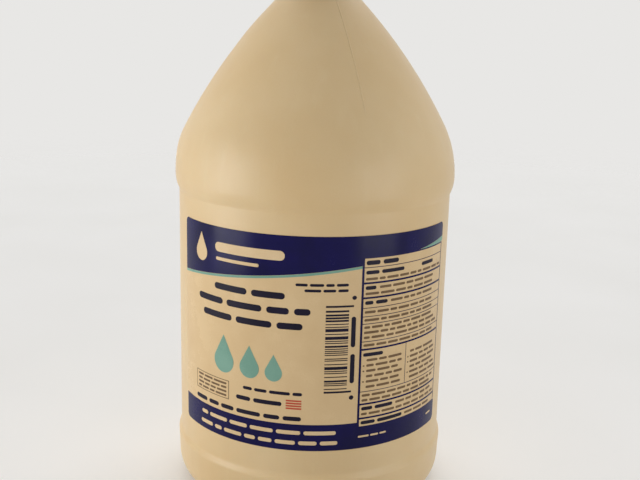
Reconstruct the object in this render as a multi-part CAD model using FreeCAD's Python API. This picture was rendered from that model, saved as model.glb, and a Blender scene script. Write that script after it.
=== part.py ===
"""Round gallon jug with a loop handle and a vented screw closure. Millimetres, +Z up, handle toward +Y."""
import math
import os

import FreeCAD
import Part

# Base, foot ring and label panel, heights from the standing plane
WALL = 1.1
PUSH_UP_H = 7.0
PUSH_UP_R = 54.0
BASE_CORNER = 16.0
FOOT_LOW_R = 76.5
FOOT_TOP_R = 77.0
FOOT_TOP_Z = 28.0
PANEL_R = 75.5
PANEL_LOW_Z = 32.6
PANEL_TOP_Z = 170.6
CREASE_FILLET = 2.2

# Bulge and shoulder, a chain of tangent arcs
BULGE_R = 77.5
BULGE_Z = 179.1
BULGE_LOW_ARC = 18.9
BULGE_TOP_ARC = 61.5
BULGE_TOP_DEG = 28.1
SHOULDER_ARC = 282.0
SHOULDER_LOW_Z = 168.0
SHOULDER_TOP_Z = 279.5
SECTION_STEP = 2.5
CREASE_OVERLAP = 1.4

# Finger recess: the rear of the shoulder is drawn in to this share of its radius between these heights.
# The pulls shape the rear's two quarter curves: round outside the recess, squarer inside it
RECESS_SHARE = 0.42
RECESS_LOW_Z = (182.0, 209.0)
RECESS_TOP_Z = (246.0, 268.0)
ROUND_PULL = 0.5523
RECESS_PULL = 0.92

# Handle centreline in the YZ plane: a leaning lower run, a bend and an upper run into the neck
HANDLE_THICK = 18.0
HANDLE_WIDTH = 25.0
HANDLE_BEND_R = 38.0
HANDLE_LOW = (65.0, 184.0)
HANDLE_BEND_START = (63.2, 230.0)
HANDLE_TOP_HEADING = 170.0
HANDLE_TOP_RUN = 24.0
HANDLE_SECTIONS = 22
FLARE_START = 6.0
FLARE_LENGTH = 30.0
FLARE_WIDTH = 7.0
FLARE_THICK = 2.5
HANDLE_BLEND = 8.0

# Neck finish, 38 mm, rooted in the shoulder
NECK_R = 17.4
NECK_BORE_R = 15.6
NECK_ROOT_Z = 270.0
NECK_TOP_Z = 297.0
BORE_LOW_Z = 262.0
INNER_SHOULDER_TOP_Z = 276.0
ROOT_OVERLAP = 0.3
FLANGE_R = 20.2
FLANGE_Z = (278.6, 280.4)
BEAD_R = 19.1
BEAD_Z = (283.4, 284.8, 285.8)
THREAD_PITCH = 4.233
THREAD_TURNS = 1.35
THREAD_DEPTH = 1.2
THREAD_ROOT_W = 2.3
THREAD_CREST_W = 1.0
THREAD_Z = 288.7

# Closure
CAP_R = 20.6
CAP_BORE_R = 18.95
CAP_LOW_Z = 286.4
CAP_TOP_Z = 300.0
CAP_UNDER_Z = 298.2
CAP_EDGE = 0.9
CAP_DISH_R = 16.5
CAP_DISH_DEPTH = 0.5
CAP_GROOVES = 72
CAP_GROOVE_R = 0.6
CAP_GROOVE_OFFSET = 0.15
CAP_GROOVE_Z = (287.6, 298.3)
CAP_VENT_R = 0.8
LINER_R = 18.6
LINER_KEEPER_R = 18.1
LINER_KEEPER_Z = (295.9, 296.8)
LINER_VENT_R = 3.0
MEMBRANE_SEAT_R = 6.3
MEMBRANE_SEAT_DEPTH = 0.35
MEMBRANE_R = 6.0
MEMBRANE_T = 0.3
BAND_Z = (281.2, 285.8)
BAND_BORE_R = 19.4
BAND_LIP_R = 17.9
BAND_LIP_Z = (282.0, 283.1)
BRIDGES = 10
BRIDGE_SIZE = (0.8, 1.2, 0.35)

# Label film on the panel, angles from the front (-Y) toward +X
LABEL_Z = (45.5, 159.3)
LABEL_DEG = (-84.9, 44.0)
LABEL_GAP = 0.02
LABEL_T = 0.13
LABEL_CORNER = 3.0

Z_AXIS = FreeCAD.Vector(0, 0, 1)
ORIGIN = FreeCAD.Vector(0, 0, 0)


def rz(r, z):
    """Point in the radius-height plane."""
    return FreeCAD.Vector(r, 0, z)


def smoothstep(t):
    t = min(max(t, 0.0), 1.0)
    return t * t * (3.0 - 2.0 * t)


def spin(edges):
    """Solid of revolution about Z from edges that close a loop."""
    return Part.Face(Part.Wire(edges)).revolve(ORIGIN, Z_AXIS, 360)


def turned(points):
    """Solid of revolution about Z from the corners of a section."""
    corners = [rz(r, z) for r, z in points]
    return spin(Part.makePolygon(corners + corners[:1]).Edges)


def ring(r_in, r_out, z_low, z_high):
    return turned([(r_in, z_low), (r_out, z_low), (r_out, z_high), (r_in, z_high)])


def disc(radius, z_low, z_high):
    return Part.makeCylinder(radius, z_high - z_low, FreeCAD.Vector(0, 0, z_low))


def arc(cx, cz, radius, start_deg, end_deg):
    """Arc edge in the radius-height plane."""
    points = []
    for share in (0.0, 0.5, 1.0):
        a = math.radians(start_deg + (end_deg - start_deg) * share)
        points.append(rz(cx + radius * math.cos(a), cz + radius * math.sin(a)))
    return Part.Arc(*points).toShape()


def add_line(edges, r, z):
    edges.append(Part.makeLine(edges[-1].lastVertex(True).Point, rz(r, z)))


def lower_body(inset):
    """Base, foot ring and label panel, drawn in by inset and closed by a flat disc inside the bulge."""
    dome_r = (PUSH_UP_R ** 2 + PUSH_UP_H ** 2) / (2 * PUSH_UP_H)
    dome_z = PUSH_UP_H - dome_r
    dome_deg = math.degrees(math.asin((inset - dome_z) / (dome_r + inset)))
    lean = math.degrees(math.atan2(FOOT_TOP_R - FOOT_LOW_R, FOOT_TOP_Z - BASE_CORNER))
    corner_r = FOOT_LOW_R - BASE_CORNER
    turn = 2 * math.degrees(math.atan2(FOOT_TOP_R - PANEL_R, PANEL_LOW_Z - FOOT_TOP_Z))
    step_arc = (PANEL_LOW_Z - FOOT_TOP_Z) / (2 * math.sin(math.radians(turn)))
    foot_round = arc(FOOT_TOP_R - step_arc, FOOT_TOP_Z, step_arc - inset, -lean, turn)
    foot_start = foot_round.firstVertex(True).Point

    edges = [arc(0, dome_z, dome_r + inset, 90, dome_deg)]
    add_line(edges, corner_r, inset)
    edges.append(arc(corner_r, BASE_CORNER, BASE_CORNER - inset, -90, -lean))
    add_line(edges, foot_start.x, foot_start.z)
    edges.append(foot_round)
    edges.append(arc(PANEL_R + step_arc, PANEL_LOW_Z, step_arc + inset, 180 + turn, 180))
    add_line(edges, PANEL_R - inset, PANEL_TOP_Z + CREASE_OVERLAP)
    add_line(edges, 0, PANEL_TOP_Z + CREASE_OVERLAP)
    add_line(edges, 0, PUSH_UP_H + inset)
    return spin(edges)


def shoulder_radius(z, inset):
    """Radius of the bulge and shoulder at height z, drawn in square to the wall by inset."""
    turn = math.radians(BULGE_TOP_DEG)
    radius = BULGE_LOW_ARC if z <= BULGE_Z else BULGE_TOP_ARC
    centre_r = BULGE_R - radius
    centre_z = BULGE_Z
    if z > BULGE_Z + (BULGE_TOP_ARC - inset) * math.sin(turn):
        radius = SHOULDER_ARC
        centre_r += (BULGE_TOP_ARC - SHOULDER_ARC) * math.cos(turn)
        centre_z += (BULGE_TOP_ARC - SHOULDER_ARC) * math.sin(turn)
    return centre_r + math.sqrt((radius - inset) ** 2 - (z - centre_z) ** 2)


def recess_depth(z):
    """How deep the finger recess is at height z, from 0 to 1."""
    into = smoothstep((z - RECESS_LOW_Z[0]) / (RECESS_LOW_Z[1] - RECESS_LOW_Z[0]))
    out = smoothstep((z - RECESS_TOP_Z[0]) / (RECESS_TOP_Z[1] - RECESS_TOP_Z[0]))
    return into * (1 - out)


def rear_radius(z):
    """How far the rear of the shoulder reaches at height z."""
    return shoulder_radius(z, 0) * (1 - (1 - RECESS_SHARE) * recess_depth(z))


def rear_curve(r, rear, z):
    """Edge from the right side round the rear to the left side."""
    pull = ROUND_PULL + (RECESS_PULL - ROUND_PULL) * recess_depth(z)
    corners = [(r, 0), (r, pull * rear), (pull * r, rear), (-pull * r, rear), (-r, pull * rear), (-r, 0)]
    poles = [FreeCAD.Vector(x, y, z) for x, y in corners]
    curve = Part.BSplineCurve()
    curve.buildFromPolesMultsKnots(poles, [4, 2, 4], [0, 1, 2], False, 3)
    return curve.toShape()


def shoulder(inset, top_z):
    """Loft of level sections with a round front, and a rear that is drawn in over the finger recess."""
    count = round((top_z - SHOULDER_LOW_Z) / SECTION_STEP)
    wires = []
    for k in range(count + 1):
        z = SHOULDER_LOW_Z + (top_z - SHOULDER_LOW_Z) * k / count
        r = shoulder_radius(z, inset)
        slope = rear_radius(z + 0.5) - rear_radius(z - 0.5)
        rear = min(r, rear_radius(z) - inset * math.hypot(1.0, slope))
        sides = [FreeCAD.Vector(-r, 0, z), FreeCAD.Vector(0, -r, z), FreeCAD.Vector(r, 0, z)]
        wires.append(Part.Wire([Part.Arc(*sides).toShape(), rear_curve(r, rear, z)]))
    return Part.makeLoft(wires, True, False)


def handle_stations():
    """Centreline points (y, z), headings, and distances from the lower and upper ends."""
    run_y = HANDLE_BEND_START[0] - HANDLE_LOW[0]
    run_z = HANDLE_BEND_START[1] - HANDLE_LOW[1]
    low_run = math.hypot(run_y, run_z)
    heading = math.atan2(run_z, run_y)
    top_heading = math.radians(HANDLE_TOP_HEADING)
    bend_run = (top_heading - heading) * HANDLE_BEND_R
    centre_y = HANDLE_BEND_START[0] - HANDLE_BEND_R * math.sin(heading)
    centre_z = HANDLE_BEND_START[1] + HANDLE_BEND_R * math.cos(heading)
    total = low_run + bend_run + HANDLE_TOP_RUN
    stations = []
    for k in range(HANDLE_SECTIONS + 1):
        s = total * k / HANDLE_SECTIONS
        h = min(heading + max(s - low_run, 0.0) / HANDLE_BEND_R, top_heading)
        straight = min(s - low_run, 0.0) + max(s - low_run - bend_run, 0.0)
        y = centre_y + HANDLE_BEND_R * math.sin(h) + straight * math.cos(h)
        z = centre_z - HANDLE_BEND_R * math.cos(h) + straight * math.sin(h)
        stations.append((y, z, h, s, total - s))
    return stations


def handle(inset):
    """Loft of ellipses along the centreline, growing on the inner side toward both ends."""
    across = FreeCAD.Vector(1, 0, 0)
    wires = []
    for y, z, h, from_low, from_top in handle_stations():
        flare = 1 - smoothstep(min(from_low - FLARE_START, from_top) / FLARE_LENGTH)
        thick = HANDLE_THICK / 2 + FLARE_THICK * flare
        wide = HANDLE_WIDTH / 2 + FLARE_WIDTH * flare
        inward = FreeCAD.Vector(0, -math.sin(h), math.cos(h))
        centre = FreeCAD.Vector(0, y, z) + inward * (FLARE_THICK * flare)
        section = Part.Ellipse(centre + across * (wide - inset), centre + inward * (thick - inset), centre)
        wires.append(Part.Wire([section.toShape()]))
    return Part.makeLoft(wires, True, False)


def lies_on(edge, shape):
    """Whether points along an edge lie on the faces of a solid."""
    skin = Part.Shell(shape.Faces)
    span = edge.LastParameter - edge.FirstParameter
    for share in (0.1, 0.4, 0.8):
        point = edge.valueAt(edge.FirstParameter + share * span)
        if skin.distToShape(Part.Vertex(point))[0] > 0.01:
            return False
    return True


def shared_edges(solid, a, b):
    return [e for e in solid.Edges if e.Length > 1.0 and lies_on(e, a) and lies_on(e, b)]


def thread_rib(root_r, depth):
    """Trapezoid thread rib on a right-hand helix; a positive depth stands outward from root_r."""
    rooted = root_r - math.copysign(ROOT_OVERLAP, depth)
    root = THREAD_ROOT_W / 2
    crest = THREAD_CREST_W / 2
    corners = [rz(rooted, -root), rz(root_r, -root), rz(root_r + depth, -crest)]
    corners += [rz(root_r + depth, crest), rz(root_r, root), rz(rooted, root)]
    section = Part.makePolygon(corners + corners[:1])
    helix = Part.makeHelix(THREAD_PITCH, THREAD_PITCH * THREAD_TURNS, root_r)
    rib = Part.Wire(helix).makePipeShell([section], True, True)
    rib.translate(FreeCAD.Vector(0, 0, THREAD_Z))
    return rib


def bottle_body():
    """One hollow moulding: base, panel, shoulder, handle and threaded neck."""
    base = lower_body(0)
    cone = shoulder(0, SHOULDER_TOP_Z)
    grip = handle(0)
    skin = base.fuse([cone, grip]).Solids[0]
    skin = skin.makeFillet(CREASE_FILLET, shared_edges(skin, base, cone))
    skin = skin.makeFillet(HANDLE_BLEND, shared_edges(skin, cone, grip))

    hidden_r = NECK_BORE_R - 2.0
    neck = ring(hidden_r, NECK_R, NECK_ROOT_Z, NECK_TOP_Z)
    flange = ring(hidden_r, FLANGE_R, *FLANGE_Z)
    bead_low, bead_mid, bead_top = BEAD_Z
    bead_section = [(hidden_r, bead_low), (BEAD_R, bead_low), (BEAD_R, bead_mid)]
    bead = turned(bead_section + [(NECK_R, bead_top), (hidden_r, bead_top)])
    outer = skin.fuse([neck, flange, bead, thread_rib(NECK_R, THREAD_DEPTH)])

    bore = disc(NECK_BORE_R, BORE_LOW_Z, NECK_TOP_Z + 5.0)
    inner = lower_body(WALL).fuse([shoulder(WALL, INNER_SHOULDER_TOP_Z), bore, handle(WALL)])
    return outer.cut(inner)


def screw_cap():
    """Ribbed cap with a dished top, an internal thread, a vent and a keeper for the liner."""
    cap = disc(CAP_R, CAP_LOW_Z, CAP_TOP_Z)
    rim = [e for e in cap.Edges if e.BoundBox.ZMin > CAP_TOP_Z - 0.1]
    cap = cap.makeFillet(CAP_EDGE, rim)
    groove = disc(CAP_GROOVE_R, *CAP_GROOVE_Z)
    groove.translate(FreeCAD.Vector(CAP_R + CAP_GROOVE_OFFSET, 0, 0))
    grooves = []
    for k in range(CAP_GROOVES):
        copy = groove.copy()
        copy.rotate(ORIGIN, Z_AXIS, 360.0 * k / CAP_GROOVES)
        grooves.append(copy)
    dish = disc(CAP_DISH_R, CAP_TOP_Z - CAP_DISH_DEPTH, CAP_TOP_Z + 1.0)
    vent = disc(CAP_VENT_R, CAP_UNDER_Z - 1.0, CAP_TOP_Z + 1.0)
    bore = disc(CAP_BORE_R, CAP_LOW_Z - 1.0, CAP_UNDER_Z)
    cap = cap.cut(grooves + [dish, vent, bore])
    rib = thread_rib(CAP_BORE_R, -THREAD_DEPTH)
    rib.rotate(ORIGIN, Z_AXIS, 180)
    low, high = LINER_KEEPER_Z
    root_r = CAP_BORE_R + ROOT_OVERLAP
    keeper = turned([(root_r, low), (CAP_BORE_R, low), (LINER_KEEPER_R, high), (root_r, high)])
    return cap.fuse([rib, keeper])


def cap_liner():
    """Sealing disc on the mouth, with a vent hole and a seat for the membrane."""
    seat = disc(MEMBRANE_SEAT_R, CAP_UNDER_Z - MEMBRANE_SEAT_DEPTH, CAP_UNDER_Z + 1.0)
    vent = disc(LINER_VENT_R, NECK_TOP_Z - 1.0, CAP_UNDER_Z)
    return disc(LINER_R, NECK_TOP_Z, CAP_UNDER_Z).cut([seat, vent])


def vent_membrane():
    low = CAP_UNDER_Z - MEMBRANE_SEAT_DEPTH
    return disc(MEMBRANE_R, low, low + MEMBRANE_T)


def tamper_band():
    """Breakaway ring caught under the neck bead, with the stubs of its bridges on the top edge."""
    low, high = BAND_Z
    lip_low, lip_high = BAND_LIP_Z
    section = [(BAND_LIP_R, low), (CAP_R, low), (CAP_R, high), (BAND_BORE_R, high)]
    section += [(BAND_BORE_R, lip_high), (BAND_LIP_R, lip_low)]
    radial, along, tall = BRIDGE_SIZE
    stub = Part.makeBox(radial, along, tall + ROOT_OVERLAP)
    stub.translate(FreeCAD.Vector((BAND_BORE_R + CAP_R - radial) / 2, -along / 2, high - ROOT_OVERLAP))
    stubs = []
    for k in range(BRIDGES):
        copy = stub.copy()
        copy.rotate(ORIGIN, Z_AXIS, 360.0 * (k + 0.5) / BRIDGES)
        stubs.append(copy)
    return turned(section).fuse(stubs)


def front_label():
    """Film on the panel with rounded corners."""
    low, high = LABEL_Z
    r_in = PANEL_R + LABEL_GAP
    base = FreeCAD.Vector(0, 0, low)
    film = Part.makeCylinder(r_in + LABEL_T, high - low, base, Z_AXIS, LABEL_DEG[1] - LABEL_DEG[0])
    film = film.cut(Part.makeCylinder(r_in, high - low, base, Z_AXIS))
    film.rotate(ORIGIN, Z_AXIS, LABEL_DEG[0] - 90.0)
    reach = LABEL_CORNER + 1.0
    inside_r = PANEL_R - 2.0
    through = 4.0
    corner_axis = FreeCAD.Vector(1, 0, 0)
    round_off = Part.makeCylinder(LABEL_CORNER, through, FreeCAD.Vector(inside_r, 0, 0), corner_axis)
    cutters = []
    for deg, side in zip(LABEL_DEG, (-1, 1)):
        for z, up in zip(LABEL_Z, (-1, 1)):
            start = FreeCAD.Vector(inside_r, min(side * reach, 0), min(up * reach, 0))
            cutter = Part.makeBox(through, reach, reach, start).cut(round_off)
            cutter.translate(FreeCAD.Vector(0, 0, z - up * LABEL_CORNER))
            cutter.rotate(ORIGIN, Z_AXIS, deg - 90.0 - side * math.degrees(LABEL_CORNER / r_in))
            cutters.append(cutter)
    return film.cut(cutters)


PIECES = {
    "bottle_body": bottle_body,
    "front_label": front_label,
    "screw_cap": screw_cap,
    "cap_liner": cap_liner,
    "vent_membrane": vent_membrane,
    "tamper_band": tamper_band,
}

os.makedirs("parts", exist_ok=True)
for node, make in PIECES.items():
    shape = make()
    shape = shape.Solids[0] if len(shape.Solids) == 1 else shape
    print(node, shape.ShapeType, shape.isValid(), round(shape.Volume, 1))
    shape.exportStep("parts/" + node + ".step")
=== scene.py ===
"""Finish of a round gallon jug: printed label, mould seams, plastics, studio and camera."""
import math
import random

import bmesh
import bpy
from mathutils import Matrix, Vector


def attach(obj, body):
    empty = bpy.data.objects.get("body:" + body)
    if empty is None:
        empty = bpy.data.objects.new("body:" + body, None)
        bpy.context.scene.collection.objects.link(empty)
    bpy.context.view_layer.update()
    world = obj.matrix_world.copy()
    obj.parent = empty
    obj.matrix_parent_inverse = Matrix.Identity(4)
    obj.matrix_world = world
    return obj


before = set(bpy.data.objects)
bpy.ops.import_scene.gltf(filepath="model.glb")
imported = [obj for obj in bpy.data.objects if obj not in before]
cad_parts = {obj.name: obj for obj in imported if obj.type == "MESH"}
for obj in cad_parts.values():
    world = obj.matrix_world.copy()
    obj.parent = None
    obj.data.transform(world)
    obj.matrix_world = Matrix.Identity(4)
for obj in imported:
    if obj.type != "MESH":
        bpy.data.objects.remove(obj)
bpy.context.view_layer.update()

MM = 0.001

# Jug profile in millimetres, as the solids have it
DOME_H = 7.0
DOME_EDGE_R = 54.0
HEEL_ROUND = 16.0
FOOT_LOW_R = 76.5
FOOT_TOP_R = 77.0
FOOT_TOP_Z = 28.0
PANEL_R = 75.5
BULGE_R = 77.5
BULGE_Z = 179.1
BULGE_ARC = 61.5
BULGE_DEG = 28.1
SHOULDER_ARC = 282.0
HANDLE_HALF = 9.0
HANDLE_LOW = (65.0, 184.0)
HANDLE_BEND = (63.2, 230.0)
HANDLE_BEND_R = 38.0
HANDLE_TOP_HEADING = math.radians(170.0)

# Mould seams in millimetres: half width, rise above the skin, depth below it, step between stations
SEAM_HALF = 0.6
SEAM_RISE = 0.2
SEAM_SINK = 0.14
SEAM_STEP = 3.0

# Runs of the seams: heights on the shoulder and panel, lowest angle of the heel and its step in radians,
# shares of the foot ring, and lengths left bare at the low and top ends of the handle's edges
SEAM_FRONT_Z = (213.0, 277.0)
SEAM_UNDER_LABEL_Z = (34.5, 45.0)
SEAM_REAR_Z = (34.5, 166.0)
SEAM_HEEL_DEG = -62.0
SEAM_HEEL_STEP = 0.12
SEAM_FOOT_SHARES = (0.25, 0.5, 0.75, 0.92)
SEAM_GRIP_OUTER = (16.0, 12.0)
SEAM_GRIP_INNER = (36.0, 22.0)

# Pinch-off line under the base in millimetres: half width, rise, distance from the edge of the dome
PINCH_HALF = 1.1
PINCH_RISE = 0.5
PINCH_CLEAR = 8.0

# Ridge section: root as a share of the sink, shoulders as shares of half width and height, fade in stations
RIDGE_ROOT = 1.6
RIDGE_SHOULDER = (0.55, 0.6)
RIDGE_FADE = 3.0

# Label film in millimetres; u runs right and v runs up from the print's origin near its lower left corner
FILM_R = 75.65
FILM_U = (-1.84, 168.0)
FILM_V = (-0.4, 113.4)
FILM_CORNER = 3.0
PRINT_LEFT_DEG = -83.5
PRINT_LOW_Z = 45.9
PRINT_EDGE = 0.1
PRINT_STEP = 2.0
INK_T = 0.035
INK_LIFT = 0.05
OVERPRINT_LIFT = 0.09

# Words of a row, as shares of their height
WORD_LENGTHS = (2.4, 6.5)
WORD_LEAST_REST = 3
WORD_GAP = 0.75


def linear(*screen):
    """Linear colour from 0-255 screen values."""
    shares = [c / 255.0 for c in screen]
    return tuple(s / 12.92 if s <= 0.04045 else ((s + 0.055) / 1.055) ** 2.4 for s in shares) + (1.0,)


# Shader nodes

def put(tree, kind, inputs=None, **settings):
    """Adds a node; settings are its properties, inputs are values or sockets to link."""
    node = tree.nodes.new(kind)
    for key, value in settings.items():
        setattr(node, key, value)
    for key, value in (inputs or {}).items():
        if isinstance(value, bpy.types.NodeSocket):
            tree.links.new(value, node.inputs[key])
        else:
            node.inputs[key].default_value = value
    return node


def open_group(name, inputs, outputs):
    """New shader node group with float sockets; gives the tree and its two end nodes."""
    tree = bpy.data.node_groups.new(name, "ShaderNodeTree")
    for socket, value in inputs.items():
        made = tree.interface.new_socket(socket, in_out="INPUT", socket_type="NodeSocketFloat")
        made.default_value = value
    for socket in outputs:
        tree.interface.new_socket(socket, in_out="OUTPUT", socket_type="NodeSocketFloat")
    return tree, tree.nodes.new("NodeGroupInput"), tree.nodes.new("NodeGroupOutput")


def noise(tree, place, scale, detail):
    node = put(tree, "ShaderNodeTexNoise", {"Vector": place, "Scale": scale, "Detail": detail})
    return node.outputs["Fac"]


def blended(tree, first, second, share):
    """First value plus a share of the second."""
    return put(tree, "ShaderNodeMath", {0: second, 1: share, 2: first}, operation="MULTIPLY_ADD").outputs[0]


# Shares of the fine noise in the groups' tone and relief, and the drawn-out rubbed streaks
GRAIN_IN_TONE = 0.12
GRAIN_IN_RELIEF = 0.25
SPECK_IN_TONE = 0.3
SPECK_IN_RELIEF = 0.04
STREAK_SCALE = (1.0, 1.0, 0.06)
STREAK_SPAN = (0.56, 0.76)


def moulded_skin_group():
    """Cloudy tone, rubbed streaks and orange peel of a blown or moulded plastic skin."""
    sizes = {"Cloud Scale": 16.0, "Peel Scale": 170.0, "Grain Scale": 1500.0, "Rub Scale": 130.0}
    tree, source, out = open_group("moulded_skin", sizes, ("Tone", "Rub", "Relief"))
    place = put(tree, "ShaderNodeTexCoord").outputs["Object"]
    cloud = noise(tree, place, source.outputs["Cloud Scale"], 3.0)
    fine = noise(tree, place, source.outputs["Grain Scale"], 1.0)
    peel = noise(tree, place, source.outputs["Peel Scale"], 2.0)
    drawn = put(tree, "ShaderNodeMapping", {"Vector": place, "Scale": STREAK_SCALE}).outputs[0]
    streak = noise(tree, drawn, source.outputs["Rub Scale"], 4.0)
    ends = {"Value": streak, "From Min": STREAK_SPAN[0], "From Max": STREAK_SPAN[1]}
    rub = put(tree, "ShaderNodeMapRange", ends).outputs[0]
    tree.links.new(blended(tree, cloud, fine, GRAIN_IN_TONE), out.inputs["Tone"])
    tree.links.new(rub, out.inputs["Rub"])
    tree.links.new(blended(tree, peel, fine, GRAIN_IN_RELIEF), out.inputs["Relief"])
    return tree


def print_skin_group():
    """Uneven ink density and the slight ripple of a stuck film."""
    sizes = {"Density Scale": 60.0, "Speck Scale": 1900.0, "Ripple Scale": 55.0}
    tree, source, out = open_group("print_skin", sizes, ("Tone", "Relief"))
    place = put(tree, "ShaderNodeTexCoord").outputs["Object"]
    density = noise(tree, place, source.outputs["Density Scale"], 3.0)
    speck = noise(tree, place, source.outputs["Speck Scale"], 1.0)
    ripple = noise(tree, place, source.outputs["Ripple Scale"], 1.0)
    tree.links.new(blended(tree, density, speck, SPECK_IN_TONE), out.inputs["Tone"])
    tree.links.new(blended(tree, ripple, speck, SPECK_IN_RELIEF), out.inputs["Relief"])
    return tree


MOULDED_SKIN = moulded_skin_group()
PRINT_SKIN = print_skin_group()

# Spans of the groups' tone over which colour and gloss change
RESIN_TONE_SPAN = (0.34, 0.76)
RESIN_GLOSS_SPAN = (0.3, 0.8)
INK_TONE_SPAN = (0.45, 0.85)
INK_GLOSS_SPAN = (0.4, 0.9)

# How much rubbed streaks pale and smooth a resin
RUB_PALING = 0.07
RUB_SMOOTHING = -0.04

# Ripple of the print in metres, its strength, and how little ink shines
INK_RIPPLE = 0.0003
INK_RIPPLE_STRENGTH = 0.25
INK_SPECULAR = 0.17


def start_material(name, group, sizes):
    """Material with a Principled shader and a placed surface group."""
    made = bpy.data.materials.new(name)
    made.use_nodes = True
    tree = made.node_tree
    skin = put(tree, "ShaderNodeGroup", node_tree=group)
    for socket, value in sizes.items():
        skin.inputs[socket].default_value = value
    return made, tree, tree.nodes["Principled BSDF"], skin


def tones(tree, value, span, colours):
    """Colour ramp over a value's span."""
    low, high = span
    ramp = put(tree, "ShaderNodeValToRGB", {"Fac": value})
    stops = ramp.color_ramp.elements
    stops[0].position, stops[0].color = low, colours[0]
    stops[1].position, stops[1].color = high, colours[-1]
    for k, colour in enumerate(colours[1:-1], 1):
        stops.new(low + (high - low) * k / (len(colours) - 1)).color = colour
    return ramp.outputs["Color"]


def gloss_over(tree, value, span, gloss):
    """Roughness that runs from one gloss to the other over a value's span."""
    ends = {"From Min": span[0], "From Max": span[1], "To Min": gloss[0], "To Max": gloss[1]}
    return put(tree, "ShaderNodeMapRange", {"Value": value, **ends}).outputs[0]


def finish_shader(tree, shader, colour, roughness, relief, depth, strength):
    bump = put(tree, "ShaderNodeBump", {"Height": relief, "Distance": depth, "Strength": strength})
    tree.links.new(colour, shader.inputs["Base Color"])
    tree.links.new(roughness, shader.inputs["Roughness"])
    tree.links.new(bump.outputs[0], shader.inputs["Normal"])


def moulded_plastic(name, colours, gloss, sizes, depth=0.0002, strength=0.35):
    """Plastic whose rubbed streaks are a little paler and glossier than the rest."""
    made, tree, shader, skin = start_material(name, MOULDED_SKIN, sizes)
    base = tones(tree, skin.outputs["Tone"], RESIN_TONE_SPAN, colours)
    mixed = put(tree, "ShaderNodeMix", data_type="RGBA", blend_type="SOFT_LIGHT")
    share = put(tree, "ShaderNodeMath", {0: skin.outputs["Rub"], 1: RUB_PALING}, operation="MULTIPLY")
    tree.links.new(share.outputs[0], mixed.inputs[0])
    tree.links.new(base, mixed.inputs[6])
    mixed.inputs[7].default_value = (1.0, 1.0, 1.0, 1.0)
    even = gloss_over(tree, skin.outputs["Tone"], RESIN_GLOSS_SPAN, gloss)
    rough = blended(tree, even, skin.outputs["Rub"], RUB_SMOOTHING)
    finish_shader(tree, shader, mixed.outputs[2], rough, skin.outputs["Relief"], depth, strength)
    return made


def print_ink(name, colours, gloss=(0.24, 0.32)):
    made, tree, shader, skin = start_material(name, PRINT_SKIN, {})
    base = tones(tree, skin.outputs["Tone"], INK_TONE_SPAN, colours)
    rough = gloss_over(tree, skin.outputs["Tone"], INK_GLOSS_SPAN, gloss)
    finish_shader(tree, shader, base, rough, skin.outputs["Relief"], INK_RIPPLE, INK_RIPPLE_STRENGTH)
    shader.inputs["Specular IOR Level"].default_value = INK_SPECULAR
    return made


JUG_TONES = [linear(231, 198, 147), linear(236, 205, 156), linear(241, 212, 166)]
jug_resin = moulded_plastic("jug_resin", JUG_TONES, gloss=(0.33, 0.42), sizes={})
jug_shader = jug_resin.node_tree.nodes["Principled BSDF"]
jug_shader.inputs["Specular IOR Level"].default_value = 0.4
jug_shader.inputs["Subsurface Weight"].default_value = 0.12
jug_shader.inputs["Subsurface Radius"].default_value = (1.0, 0.7, 0.4)
jug_shader.inputs["Subsurface Scale"].default_value = 0.003
CAP_TONES = [linear(233, 214, 178), linear(240, 223, 190)]
CAP_SIZES = {"Cloud Scale": 60.0, "Rub Scale": 400.0}
cap_resin = moulded_plastic("cap_resin", CAP_TONES, gloss=(0.34, 0.42), sizes=CAP_SIZES)
BAND_TONES = [linear(230, 210, 173), linear(237, 219, 185)]
BAND_SIZES = {"Cloud Scale": 70.0, "Rub Scale": 420.0}
band_resin = moulded_plastic("band_resin", BAND_TONES, gloss=(0.36, 0.46), sizes=BAND_SIZES)
LINER_TONES = [linear(214, 210, 200), linear(232, 229, 221)]
LINER_SIZES = {"Peel Scale": 700.0}
liner_foam = moulded_plastic("liner_foam", LINER_TONES, gloss=(0.6, 0.75), sizes=LINER_SIZES,
                             depth=0.0003, strength=0.6)
MEMBRANE_TONES = [linear(236, 238, 240), linear(246, 247, 248)]
MEMBRANE_SIZES = {"Peel Scale": 1200.0}
membrane_film = moulded_plastic("membrane_film", MEMBRANE_TONES, gloss=(0.5, 0.65), sizes=MEMBRANE_SIZES)

film_cream = print_ink("film_cream", [linear(231, 199, 151), linear(237, 207, 160)], gloss=(0.22, 0.3))
navy_ink = print_ink("navy_ink", [linear(9, 5, 62), linear(15, 9, 79)], gloss=(0.2, 0.28))
text_ink = print_ink("text_ink", [linear(18, 14, 34), linear(28, 22, 46)], gloss=(0.34, 0.46))
fine_ink = print_ink("fine_ink", [linear(118, 94, 68), linear(132, 106, 78)], gloss=(0.34, 0.46))
teal_ink = print_ink("teal_ink", [linear(124, 168, 150), linear(138, 180, 162)])
coral_ink = print_ink("coral_ink", [linear(196, 74, 52), linear(208, 88, 64)])
reversed_cream = print_ink("reversed_cream", [linear(233, 202, 155), linear(240, 212, 170)])

CAD_FINISHES = {
    "bottle_body": jug_resin,
    "front_label": film_cream,
    "screw_cap": cap_resin,
    "tamper_band": band_resin,
    "cap_liner": liner_foam,
    "vent_membrane": membrane_film,
}
for node, finish in CAD_FINISHES.items():
    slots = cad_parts[node].data.materials
    slots.clear()
    slots.append(finish)


# Pieces

def place_piece(name, bm, finish):
    """Links a bmesh as a piece that rides on the bottle."""
    mesh = bpy.data.meshes.new(name)
    bm.to_mesh(mesh)
    bm.free()
    mesh.materials.append(finish)
    mesh.shade_smooth()
    piece = bpy.data.objects.new(name, mesh)
    bpy.context.scene.collection.objects.link(piece)
    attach(piece, "bottle")
    return piece


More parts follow.
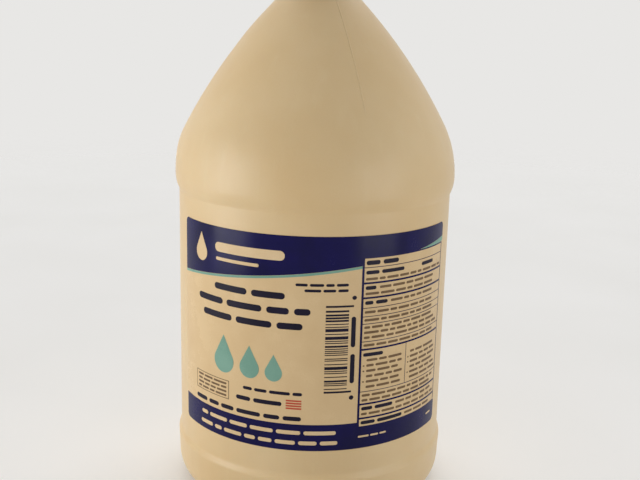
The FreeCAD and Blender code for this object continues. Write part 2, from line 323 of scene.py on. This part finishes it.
def spread(start, end, step):
    count = max(1, math.ceil((end - start) / step))
    return [start + (end - start) * k / count for k in range(count + 1)]


# Mould seams, in the plane of the handle

def shoulder_radius(z):
    turn = math.radians(BULGE_DEG)
    if z <= BULGE_Z + BULGE_ARC * math.sin(turn):
        return BULGE_R - BULGE_ARC + math.sqrt(BULGE_ARC ** 2 - (z - BULGE_Z) ** 2)
    centre_r = BULGE_R - BULGE_ARC + (BULGE_ARC - SHOULDER_ARC) * math.cos(turn)
    centre_z = BULGE_Z + (BULGE_ARC - SHOULDER_ARC) * math.sin(turn)
    return centre_r + math.sqrt(SHOULDER_ARC ** 2 - (z - centre_z) ** 2)


def shoulder_stations(low, high):
    """Seam stations (y, z, normal y, normal z) up the front of the shoulder."""
    stations = []
    for z in spread(low, high, SEAM_STEP):
        slope = shoulder_radius(z + 0.5) - shoulder_radius(z - 0.5)
        size = math.hypot(1.0, slope)
        stations.append((-shoulder_radius(z), z, -1.0 / size, -slope / size))
    return stations


def foot_stations(side):
    """Seam stations up the heel round and the foot ring on the front or rear side."""
    lean = math.atan2(FOOT_TOP_R - FOOT_LOW_R, FOOT_TOP_Z - HEEL_ROUND)
    stations = []
    for a in spread(math.radians(SEAM_HEEL_DEG), -lean, SEAM_HEEL_STEP):
        y = FOOT_LOW_R - HEEL_ROUND + HEEL_ROUND * math.cos(a)
        stations.append((side * y, HEEL_ROUND + HEEL_ROUND * math.sin(a), side * math.cos(a), math.sin(a)))
    for share in SEAM_FOOT_SHARES:
        y = FOOT_LOW_R + (FOOT_TOP_R - FOOT_LOW_R) * share
        z = HEEL_ROUND + (FOOT_TOP_Z - HEEL_ROUND) * share
        stations.append((side * y, z, side * math.cos(lean), -math.sin(lean)))
    return stations


def panel_stations(side, low, high):
    return [(side * PANEL_R, z, side, 0.0) for z in spread(low, high, SEAM_STEP)]


def handle_stations(outward, skip_low, skip_top):
    """Seam stations along the outer (1) or inner (-1) edge of the handle."""
    run_y = HANDLE_BEND[0] - HANDLE_LOW[0]
    run_z = HANDLE_BEND[1] - HANDLE_LOW[1]
    heading = math.atan2(run_z, run_y)
    low_run = math.hypot(run_y, run_z)
    centre_y = HANDLE_BEND[0] - HANDLE_BEND_R * math.sin(heading)
    centre_z = HANDLE_BEND[1] + HANDLE_BEND_R * math.cos(heading)
    total = low_run + (HANDLE_TOP_HEADING - heading) * HANDLE_BEND_R
    stations = []
    for s in spread(skip_low, total - skip_top, SEAM_STEP):
        turn = heading + max(s - low_run, 0.0) / HANDLE_BEND_R
        straight = min(s - low_run, 0.0)
        ny = outward * math.sin(turn)
        nz = -outward * math.cos(turn)
        y = centre_y + HANDLE_BEND_R * math.sin(turn) + straight * math.cos(turn) + HANDLE_HALF * ny
        z = centre_z - HANDLE_BEND_R * math.cos(turn) + straight * math.sin(turn) + HANDLE_HALF * nz
        stations.append((y, z, ny, nz))
    return stations


def pinch_stations():
    """Pinch-off stations across the pushed-up base, facing down."""
    dome_r = (DOME_EDGE_R ** 2 + DOME_H ** 2) / (2 * DOME_H)
    reach = DOME_EDGE_R - PINCH_CLEAR
    stations = []
    for y in spread(-reach, reach, SEAM_STEP):
        drop = math.sqrt(dome_r ** 2 - y ** 2)
        stations.append((y, DOME_H - dome_r + drop, -y / dome_r, -drop / dome_r))
    return stations


def add_ridge(bm, stations, half, rise):
    """Closed low ridge along stations, sinking into the skin at both ends."""
    rings = []
    for k, (y, z, ny, nz) in enumerate(stations):
        fade = min(1.0, k / RIDGE_FADE, (len(stations) - 1 - k) / RIDGE_FADE)
        top = fade * (rise + SEAM_SINK) - SEAM_SINK
        root = -SEAM_SINK * RIDGE_ROOT
        side = RIDGE_SHOULDER[0] * half
        side_top = RIDGE_SHOULDER[1] * top
        profile = [(-half, root), (-side, side_top), (0.0, top), (side, side_top), (half, root)]
        rings.append([bm.verts.new(Vector((x, y + ny * h, z + nz * h)) * MM) for x, h in profile])
    for before, after in zip(rings, rings[1:]):
        for i in range(len(before)):
            j = (i + 1) % len(before)
            bm.faces.new((before[i], before[j], after[j], after[i]))
    bm.faces.new(rings[0])
    bm.faces.new(reversed(rings[-1]))


def mould_seams():
    bm = bmesh.new()
    runs = [
        shoulder_stations(*SEAM_FRONT_Z),
        foot_stations(-1.0),
        foot_stations(1.0),
        panel_stations(-1.0, *SEAM_UNDER_LABEL_Z),
        panel_stations(1.0, *SEAM_REAR_Z),
        handle_stations(1.0, *SEAM_GRIP_OUTER),
        handle_stations(-1.0, *SEAM_GRIP_INNER),
    ]
    for stations in runs:
        add_ridge(bm, stations, SEAM_HALF, SEAM_RISE)
    bmesh.ops.recalc_face_normals(bm, faces=bm.faces)
    place_piece("mould_seams", bm, jug_resin)
    base = bmesh.new()
    add_ridge(base, pinch_stations(), PINCH_HALF, PINCH_RISE)
    bmesh.ops.recalc_face_normals(base, faces=base.faces)
    place_piece("base_pinch_line", base, jug_resin)


# Print on the label film, as columns (u, v low, v high)

def film_point(u, v, lift):
    angle = math.radians(PRINT_LEFT_DEG) + u / PANEL_R
    r = FILM_R + lift
    return Vector((r * math.sin(angle), -r * math.cos(angle), PRINT_LOW_Z + v)) * MM


def film_inset(u):
    """How far the rounded corners draw the film's lower and upper edges in at u."""
    reach = max(FILM_CORNER - min(u - FILM_U[0], FILM_U[1] - u), 0.0)
    return PRINT_EDGE + FILM_CORNER - math.sqrt(FILM_CORNER ** 2 - reach ** 2)


def film_columns():
    corner = spread(PRINT_EDGE, FILM_CORNER, 0.5)
    middle = spread(FILM_U[0] + FILM_CORNER, FILM_U[1] - FILM_CORNER, PRINT_STEP)[1:-1]
    return [FILM_U[0] + d for d in corner] + middle + [FILM_U[1] - d for d in reversed(corner)]


def bar(u0, u1, v0, v1):
    return [(u, v0, v1) for u in spread(u0, u1, PRINT_STEP)]


def word(u0, u1, v0, v1):
    """Bar with rounded ends."""
    r = (v1 - v0) / 2
    mid = (v0 + v1) / 2
    ends = [(r - r * math.cos(a), r * math.sin(a)) for a in (0.3, 0.75, 1.15)]
    left = [(u0 + along, mid - half, mid + half) for along, half in ends]
    right = [(u1 - along, mid - half, mid + half) for along, half in reversed(ends)]
    return left + bar(u0 + r, u1 - r, v0, v1) + right


def upright(u0, u1, v0, v1):
    """Bar that stands upright, with rounded ends."""
    r = (u1 - u0) / 2
    columns = []
    for a in (-1.35, -1.0, -0.6, -0.2, 0.2, 0.6, 1.0, 1.35):
        end = r - r * math.cos(a)
        columns.append((u0 + r + r * math.sin(a), v0 + end, v1 - end))
    return columns


def words(draw, u0, u1, v, height):
    """Row of words of varied length centred on v."""
    row = []
    u = u0
    while u < u1 - height:
        end = u + height * draw.uniform(*WORD_LENGTHS)
        if u1 - end < WORD_LEAST_REST * height:
            end = u1
        row.append(word(u, end, v - height / 2, v + height / 2))
        u = end + WORD_GAP * height
    return row


def drop(u, v, radius, height):
    """Drop with its round end centred at u, v and its point height above that."""
    touch = radius * radius / height
    touch_half = radius * math.sqrt(1 - (radius / height) ** 2)
    columns = []
    for k in range(-12, 13):
        x = radius * math.sin(math.pi / 2 * k / 12.5)
        round_half = math.sqrt(radius * radius - x * x)
        top = round_half
        if abs(x) < touch_half:
            top = height - (height - touch) * abs(x) / touch_half
        columns.append((u + x, v - round_half, v + top))
    return columns


def outline(u0, u1, v0, v1, line):
    return [bar(u0, u1, v1 - line, v1), bar(u0, u1, v0, v0 + line),
            bar(u0, u0 + line, v0 + line, v1 - line), bar(u1 - line, u1, v0 + line, v1 - line)]


def lay_print(name, patches, lift, ink):
    """Thin closed patches of ink on the film."""
    bm = bmesh.new()
    for columns in patches:
        last = None
        for u, low, high in columns:
            pair = [bm.verts.new(film_point(u, low, lift)), bm.verts.new(film_point(u, high, lift))]
            if last:
                bm.faces.new((last[0], pair[0], pair[1], last[1]))
            last = pair
    piece = place_piece(name, bm, ink)
    body = piece.modifiers.new("ink_body", "SOLIDIFY")
    body.thickness = INK_T * MM
    body.offset = -1.0
    shading = piece.modifiers.new("ink_shading", "WEIGHTED_NORMAL")
    shading.weight = 100


PANEL_U = (106.4, 166.9)
PANEL_V = (11.2, 102.4)
PANEL_FRAME = 0.7
PANEL_SPINE = 1.2
BAND_SLOPE = (85.1, 0.1215)
BAND_LINE = 1.35
LOWER_BAND_V = 14.2
BAND_STEP = 0.02
LINE_GAP = 0.1
LINE_START = 1.5
HEAVY_RULES = (1.0, (88.9, 81.2, 53.9, 24.1, 16.3))
LIGHT_RULES = (0.35, (97.0, 75.9, 71.4, 67.5, 58.1, 31.0))
DIVIDER_U = (135.2, 135.5)
DIVIDER_V = (31.2, 53.4)
HEAD_H = 1.9
FINE_H = 1.3

# Heads of the panel's parts, as (v, length), and the fine rows behind them, as (v, start)
PART_HEADS = ((86.4, 6.0), (78.6, 13.0), (51.0, 11.5), (21.6, 19.0), (13.8, 26.0))
ROWS_AFTER_HEADS = ((86.4, 8.0), (78.6, 15.0), (21.6, 21.0), (13.8, 28.0))
FULL_ROWS = (83.4, 73.7, 69.5, 65.6, 62.9, 60.2, 56.1, 28.9, 26.2, 18.6)
ROW_RAG = 9.0
DOTTED_ROWS = (1, 2, 4)
HALF_ROW_ENDS = (134.2, 136.8)
HALF_ROW_TOP = 48.0
HALF_ROW_STEP = 2.9
HALF_ROW_RAG = 5.0

# Rows of words as (u0, u1, v, height): heavy ones beside the panel, short ones under the top band,
# those on the lower band and those in the small box
HEAVY_ROWS = (
    (26.5, 67.8, 82.3, 3.4),
    (13.5, 80.8, 74.6, 3.4),
    (17.5, 77.0, 66.8, 3.4),
    (45.5, 77.5, 30.7, 1.7),
    (41.3, 67.0, 24.8, 2.3),
    (10.5, 77.2, 17.2, 2.3),
)
SHORT_ROWS = ((73.0, 99.6, 88.7, 1.4), (77.5, 99.6, 85.8, 1.4))
FOOT_ROWS = (
    (15.7, 95.3, 9.6, 2.1),
    (15.0, 96.3, 4.0, 2.1),
    (107.2, 124.0, 6.2, 1.0),
    (157.5, 163.0, 6.2, 1.0),
)
BOX_ROWS = tuple((12.4, 34.9, v, 1.1) for v in (30.1, 27.9, 25.7, 23.5))
BOX = (10.6, 36.6, 21.7, 32.0)
BOX_LINE = 0.35

# Stripe stack, whose first and last stripes are long, and the uprights beside it
STRIPES_U = (88.4, 100.2)
STRIPES_V = (31.5, 77.6)
LONG_STRIPE_END = 102.6
SHORT_STRIPES_V = (33.5, 76.0)
STRIPE_WEIGHTS = (0.5, 0.5, 1.0, 1.6)
STRIPE_GAPS = (0.5, 0.6, 1.0, 1.5)
UPRIGHTS_U = (101.6, 104.0)
UPRIGHTS_V = ((27.4, 29.8), (36.4, 52.2), (55.8, 72.0), (80.8, 83.0))

# Drops as (u, v, radius, height), title words as (u0, u1, v0, v1), and the small stack of coral stripes
TEAL_DROPS = ((33.0, 42.6, 6.6, 14.2), (49.0, 42.0, 5.6, 12.0), (62.4, 41.2, 4.6, 9.8))
TITLE_DROP = (15.8, 98.0, 4.8, 10.6)
TITLE_WORDS = ((27.0, 67.5, 100.4, 105.4), (27.6, 54.0, 95.9, 97.6))
CORAL_U = (69.2, 77.2)
CORAL_ROWS = (22.4, 23.8, 25.2, 26.6)
CORAL_H = 0.85


def band_edge(u):
    return BAND_SLOPE[0] + BAND_SLOPE[1] * u


def wide_bands():
    """Top band above a sloping edge and level lower band, both stepped clear of the ruled panel."""
    edge = PANEL_U[0]
    columns = film_columns()
    left = [u for u in columns if u < edge] + [edge]
    right = [edge + BAND_STEP] + [u for u in columns if u > edge + BAND_STEP]
    top = [(u, band_edge(u), FILM_V[1] - film_inset(u)) for u in left]
    top += [(u, max(band_edge(u), PANEL_V[1]), FILM_V[1] - film_inset(u)) for u in right]
    lower = [(u, FILM_V[0] + film_inset(u), LOWER_BAND_V) for u in left]
    lower += [(u, FILM_V[0] + film_inset(u), PANEL_V[0]) for u in right]
    return [top, lower]


def band_lines():
    """Narrow line under the top band, broken by the ruled panel."""
    meets = (PANEL_V[1] - BAND_SLOPE[0]) / BAND_SLOPE[1]
    left = [(u, band_edge(u) - BAND_LINE, band_edge(u) - LINE_GAP)
            for u in spread(FILM_U[0] + PRINT_EDGE, PANEL_U[0], PRINT_STEP)]
    right = [(u, max(PANEL_V[1], band_edge(u) - 2 * BAND_LINE), band_edge(u) - LINE_GAP)
             for u in spread(meets + LINE_START, FILM_U[1] - PRINT_EDGE, PRINT_STEP)]
    return [left, right]


def panel_frame():
    """Frame, spine, rules and divider of the ruled panel."""
    u0, u1 = PANEL_U
    v0, v1 = PANEL_V
    lines = outline(u0, u1, v0, v1, PANEL_FRAME)
    lines.append(bar(u0 + PANEL_FRAME, u0 + PANEL_SPINE, v0 + PANEL_FRAME, v1 - PANEL_FRAME))
    for weight, heights in (HEAVY_RULES, LIGHT_RULES):
        for v in heights:
            lines.append(bar(u0 + PANEL_SPINE, u1 - PANEL_FRAME, v - weight / 2, v + weight / 2))
    lines.append(bar(*DIVIDER_U, *DIVIDER_V))
    return lines


def panel_heads(draw, left, right):
    """Heavier words that open each part of the panel."""
    rows = words(draw, left, left + 19.0, 99.4, 2.3)
    rows += words(draw, left, left + 23.0, 94.4, HEAD_H)
    rows += words(draw, right - 20.0, right - 9.0, 94.4, HEAD_H)
    for v, length in PART_HEADS:
        rows += words(draw, left, left + length, v, HEAD_H)
    return rows


def panel_rows(draw, left, right):
    """Fine rows of the panel, some with a dot in front."""
    rows = words(draw, left, right, 91.0, FINE_H)
    for v, start in ROWS_AFTER_HEADS:
        rows += words(draw, left + start, right - draw.uniform(0.0, ROW_RAG), v, FINE_H)
    for v in FULL_ROWS:
        rows += words(draw, left, right - draw.uniform(0.0, ROW_RAG), v, FINE_H)
    for k in range(6):
        v = HALF_ROW_TOP - HALF_ROW_STEP * k
        for start, end in ((left, HALF_ROW_ENDS[0]), (HALF_ROW_ENDS[1], right)):
            if k in DOTTED_ROWS:
                rows.append(word(start, start + 1.0, v - 0.4, v + 0.4))
            rows += words(draw, start + 2.0, end - draw.uniform(0.0, HALF_ROW_RAG), v, FINE_H)
    return rows


def stripe_block():
    """Stack of level stripes of mixed weight with upright bars beside it."""
    draw = random.Random(5)
    marks = []
    v = STRIPES_V[0]
    while v < STRIPES_V[1]:
        weight = draw.choice(STRIPE_WEIGHTS)
        short = SHORT_STRIPES_V[0] <= v <= SHORT_STRIPES_V[1]
        marks.append(bar(STRIPES_U[0], STRIPES_U[1] if short else LONG_STRIPE_END, v, v + weight))
        v += weight + draw.choice(STRIPE_GAPS)
    for low, high in UPRIGHTS_V:
        marks.append(upright(*UPRIGHTS_U, low, high))
    return marks


def label_print():
    draw = random.Random(3)
    left = PANEL_U[0] + PANEL_SPINE + 0.9
    right = PANEL_U[1] - 2.0
    lay_print("navy_print", wide_bands() + panel_frame(), INK_LIFT, navy_ink)

    dark = panel_heads(draw, left, right) + stripe_block()
    heavy_draw = random.Random(20)
    for row in HEAVY_ROWS:
        dark += words(heavy_draw, *row)
    for row in SHORT_ROWS:
        dark += words(draw, *row)
    lay_print("dark_print", dark, INK_LIFT, text_ink)

    fine = panel_rows(draw, left, right) + outline(*BOX, BOX_LINE)
    for row in BOX_ROWS:
        fine += words(draw, *row)
    lay_print("fine_print", fine, INK_LIFT, fine_ink)

    drops = [drop(*place) for place in TEAL_DROPS]
    lay_print("teal_print", band_lines() + drops, INK_LIFT, teal_ink)

    coral = [bar(*CORAL_U, v, v + CORAL_H) for v in CORAL_ROWS]
    lay_print("coral_print", coral, INK_LIFT, coral_ink)

    cream = [drop(*TITLE_DROP)] + [word(*place) for place in TITLE_WORDS]
    for row in FOOT_ROWS:
        cream += words(draw, *row)
    lay_print("cream_print", cream, OVERPRINT_LIFT, reversed_cream)


mould_seams()
label_print()


# Studio

FLOOR_R = 1.8
FLOOR_FADE = (0.5, 0.97 * FLOOR_R)
FLOOR_LIFT = 0.33
SOFT_BOX = (0.34, 0.44)
SOFT_BOX_Z = 0.17
SOFT_BOX_REACH = 0.6
FLOOR_TONES = [linear(226, 225, 222), linear(231, 230, 228)]
BACKDROP = linear(232, 231, 229)
SOFT_STRENGTH = 0.3

# Camera of the photograph: its turn about the jug, its yaw, pitch and roll in degrees, its place in metres
# before the turn, and its lens in millimetres
CAMERA_TURN = math.radians(-21.7)
CAMERA_AIM = (0.411, 13.552, 1.481)
CAMERA_PLACE = (0.0, -0.50907, 0.26215)
CAMERA_LENS = 51.504
CAMERA_SENSOR = 36.0


def facing(place, target):
    """Placement at a point, looking at a target."""
    turn = (Vector(target) - Vector(place)).to_track_quat("-Z", "Y")
    return Matrix.Translation(place) @ turn.to_matrix().to_4x4()


def larger(tree, a, b):
    return put(tree, "ShaderNodeMath", {0: a, 1: b}, operation="MAXIMUM").outputs[0]


def background_rays(tree):
    """One where the camera, a reflection or a see-through surface looks at the background."""
    rays = put(tree, "ShaderNodeLightPath").outputs
    seen = larger(tree, rays["Is Camera Ray"], rays["Is Glossy Ray"])
    return larger(tree, seen, rays["Is Transmission Ray"])


def lay_floor():
    """Pale round floor that fades out into the backdrop."""
    bm = bmesh.new()
    bmesh.ops.create_circle(bm, cap_ends=True, segments=96, radius=FLOOR_R)
    mesh = bpy.data.meshes.new("studio_floor")
    bm.to_mesh(mesh)
    bm.free()
    made = bpy.data.materials.new("floor_paint")
    made.use_nodes = True
    tree = made.node_tree
    shader = tree.nodes["Principled BSDF"]
    place = put(tree, "ShaderNodeTexCoord").outputs["Object"]
    mottle = noise(tree, place, 6.0, 2.0)
    tree.links.new(tones(tree, mottle, (0.3, 0.7), FLOOR_TONES), shader.inputs["Base Color"])
    shader.inputs["Roughness"].default_value = 0.8
    far = put(tree, "ShaderNodeVectorMath", {0: place}, operation="LENGTH").outputs["Value"]
    ends = {"Value": far, "From Min": FLOOR_FADE[0], "From Max": FLOOR_FADE[1]}
    fade = put(tree, "ShaderNodeMapRange", ends, interpolation_type="SMOOTHSTEP")
    clear = put(tree, "ShaderNodeBsdfTransparent")
    seen = put(tree, "ShaderNodeMath", {0: background_rays(tree), 1: FLOOR_LIFT}, operation="MULTIPLY")
    glow = put(tree, "ShaderNodeEmission", {"Color": BACKDROP, "Strength": seen.outputs[0]})
    lifted = put(tree, "ShaderNodeAddShader", {0: shader.outputs[0], 1: glow.outputs[0]})
    parts = {0: fade.outputs[0], 1: lifted.outputs[0], 2: clear.outputs[0]}
    mixed = put(tree, "ShaderNodeMixShader", parts)
    tree.links.new(mixed.outputs[0], tree.nodes["Material Output"].inputs["Surface"])
    mesh.materials.append(made)
    floor = bpy.data.objects.new("studio_floor", mesh)
    bpy.context.scene.collection.objects.link(floor)
    return floor


def light_world():
    """Even soft light, with a pale backdrop for what the camera and reflections see."""
    world = bpy.data.worlds.new("studio_world")
    world.use_nodes = True
    bpy.context.scene.world = world
    tree = world.node_tree
    tree.nodes.clear()
    soft = put(tree, "ShaderNodeBackground", {"Color": (1.0, 1.0, 1.0, 1.0), "Strength": SOFT_STRENGTH})
    backdrop = put(tree, "ShaderNodeBackground", {"Color": BACKDROP, "Strength": 1.0})
    ends = {0: background_rays(tree), 1: soft.outputs[0], 2: backdrop.outputs[0]}
    mixed = put(tree, "ShaderNodeMixShader", ends)
    out = put(tree, "ShaderNodeOutputWorld")
    tree.links.new(mixed.outputs[0], out.inputs["Surface"])


def lamp_way(side_deg, lift_deg):
    """Direction to a lamp; its side is measured from the camera toward the right."""
    side = CAMERA_TURN + math.radians(side_deg)
    lift = math.radians(lift_deg)
    return Vector((math.sin(side) * math.cos(lift), -math.cos(side) * math.cos(lift), math.sin(lift)))


def hang_lamp(name, lamp, place, target):
    source = bpy.data.objects.new(name, lamp)
    source.matrix_world = facing(place, target)
    source.visible_camera = False
    bpy.context.scene.collection.objects.link(source)
    return source


def shade_group(floor):
    """Receivers of the soft boxes: all but the floor, which would show a glaring patch beside each box."""
    group = bpy.data.collections.new("soft_box_receivers")
    group.objects.link(floor)
    group.collection_objects[0].light_linking.link_state = "EXCLUDE"
    return group


def add_soft_box(name, side_deg, power, receivers):
    """Upright soft box that stands beside the jug."""
    lamp = bpy.data.lights.new(name, "AREA")
    lamp.shape = "RECTANGLE"
    lamp.size, lamp.size_y = SOFT_BOX
    lamp.energy = power
    aim = Vector((0.0, 0.0, SOFT_BOX_Z))
    source = hang_lamp(name, lamp, aim + SOFT_BOX_REACH * lamp_way(side_deg, 0.0), aim)
    source.light_linking.receiver_collection = receivers


def add_fill(name, side_deg, lift_deg, width_deg, strength):
    """Far even light that fills a wide piece of the sky."""
    lamp = bpy.data.lights.new(name, "SUN")
    lamp.angle = math.radians(width_deg)
    lamp.energy = strength
    hang_lamp(name, lamp, lamp_way(side_deg, lift_deg), (0.0, 0.0, 0.0))


def set_camera():
    """Camera at the photograph's place, tilt and lens."""
    yaw, pitch, roll = (math.radians(d) for d in CAMERA_AIM)
    turn = Matrix.Rotation(CAMERA_TURN, 3, "Z")
    ahead = turn @ Vector((math.sin(yaw) * math.cos(pitch),
                           math.cos(yaw) * math.cos(pitch),
                           -math.sin(pitch)))
    level_right = ahead.cross(Vector((0.0, 0.0, 1.0))).normalized()
    level_up = level_right.cross(ahead)
    right = math.cos(roll) * level_right + math.sin(roll) * level_up
    up = math.cos(roll) * level_up - math.sin(roll) * level_right
    lens = bpy.data.cameras.new("photo_camera")
    lens.sensor_width = CAMERA_SENSOR
    lens.lens = CAMERA_LENS
    lens.clip_start = 0.01
    camera = bpy.data.objects.new("photo_camera", lens)
    place = Matrix((right, up, -ahead)).transposed().to_4x4()
    place.translation = turn @ Vector(CAMERA_PLACE)
    camera.matrix_world = place
    bpy.context.scene.collection.objects.link(camera)
    bpy.context.scene.camera = camera


floor_left_out = shade_group(lay_floor())
light_world()
add_soft_box("lamp_left", side_deg=-68.0, power=1.95, receivers=floor_left_out)
add_soft_box("lamp_right", side_deg=51.0, power=0.95, receivers=floor_left_out)
add_fill("fill_rear", side_deg=175.0, lift_deg=55.0, width_deg=60.0, strength=1.2)
set_camera()
bpy.context.scene.view_settings.view_transform = "Standard"
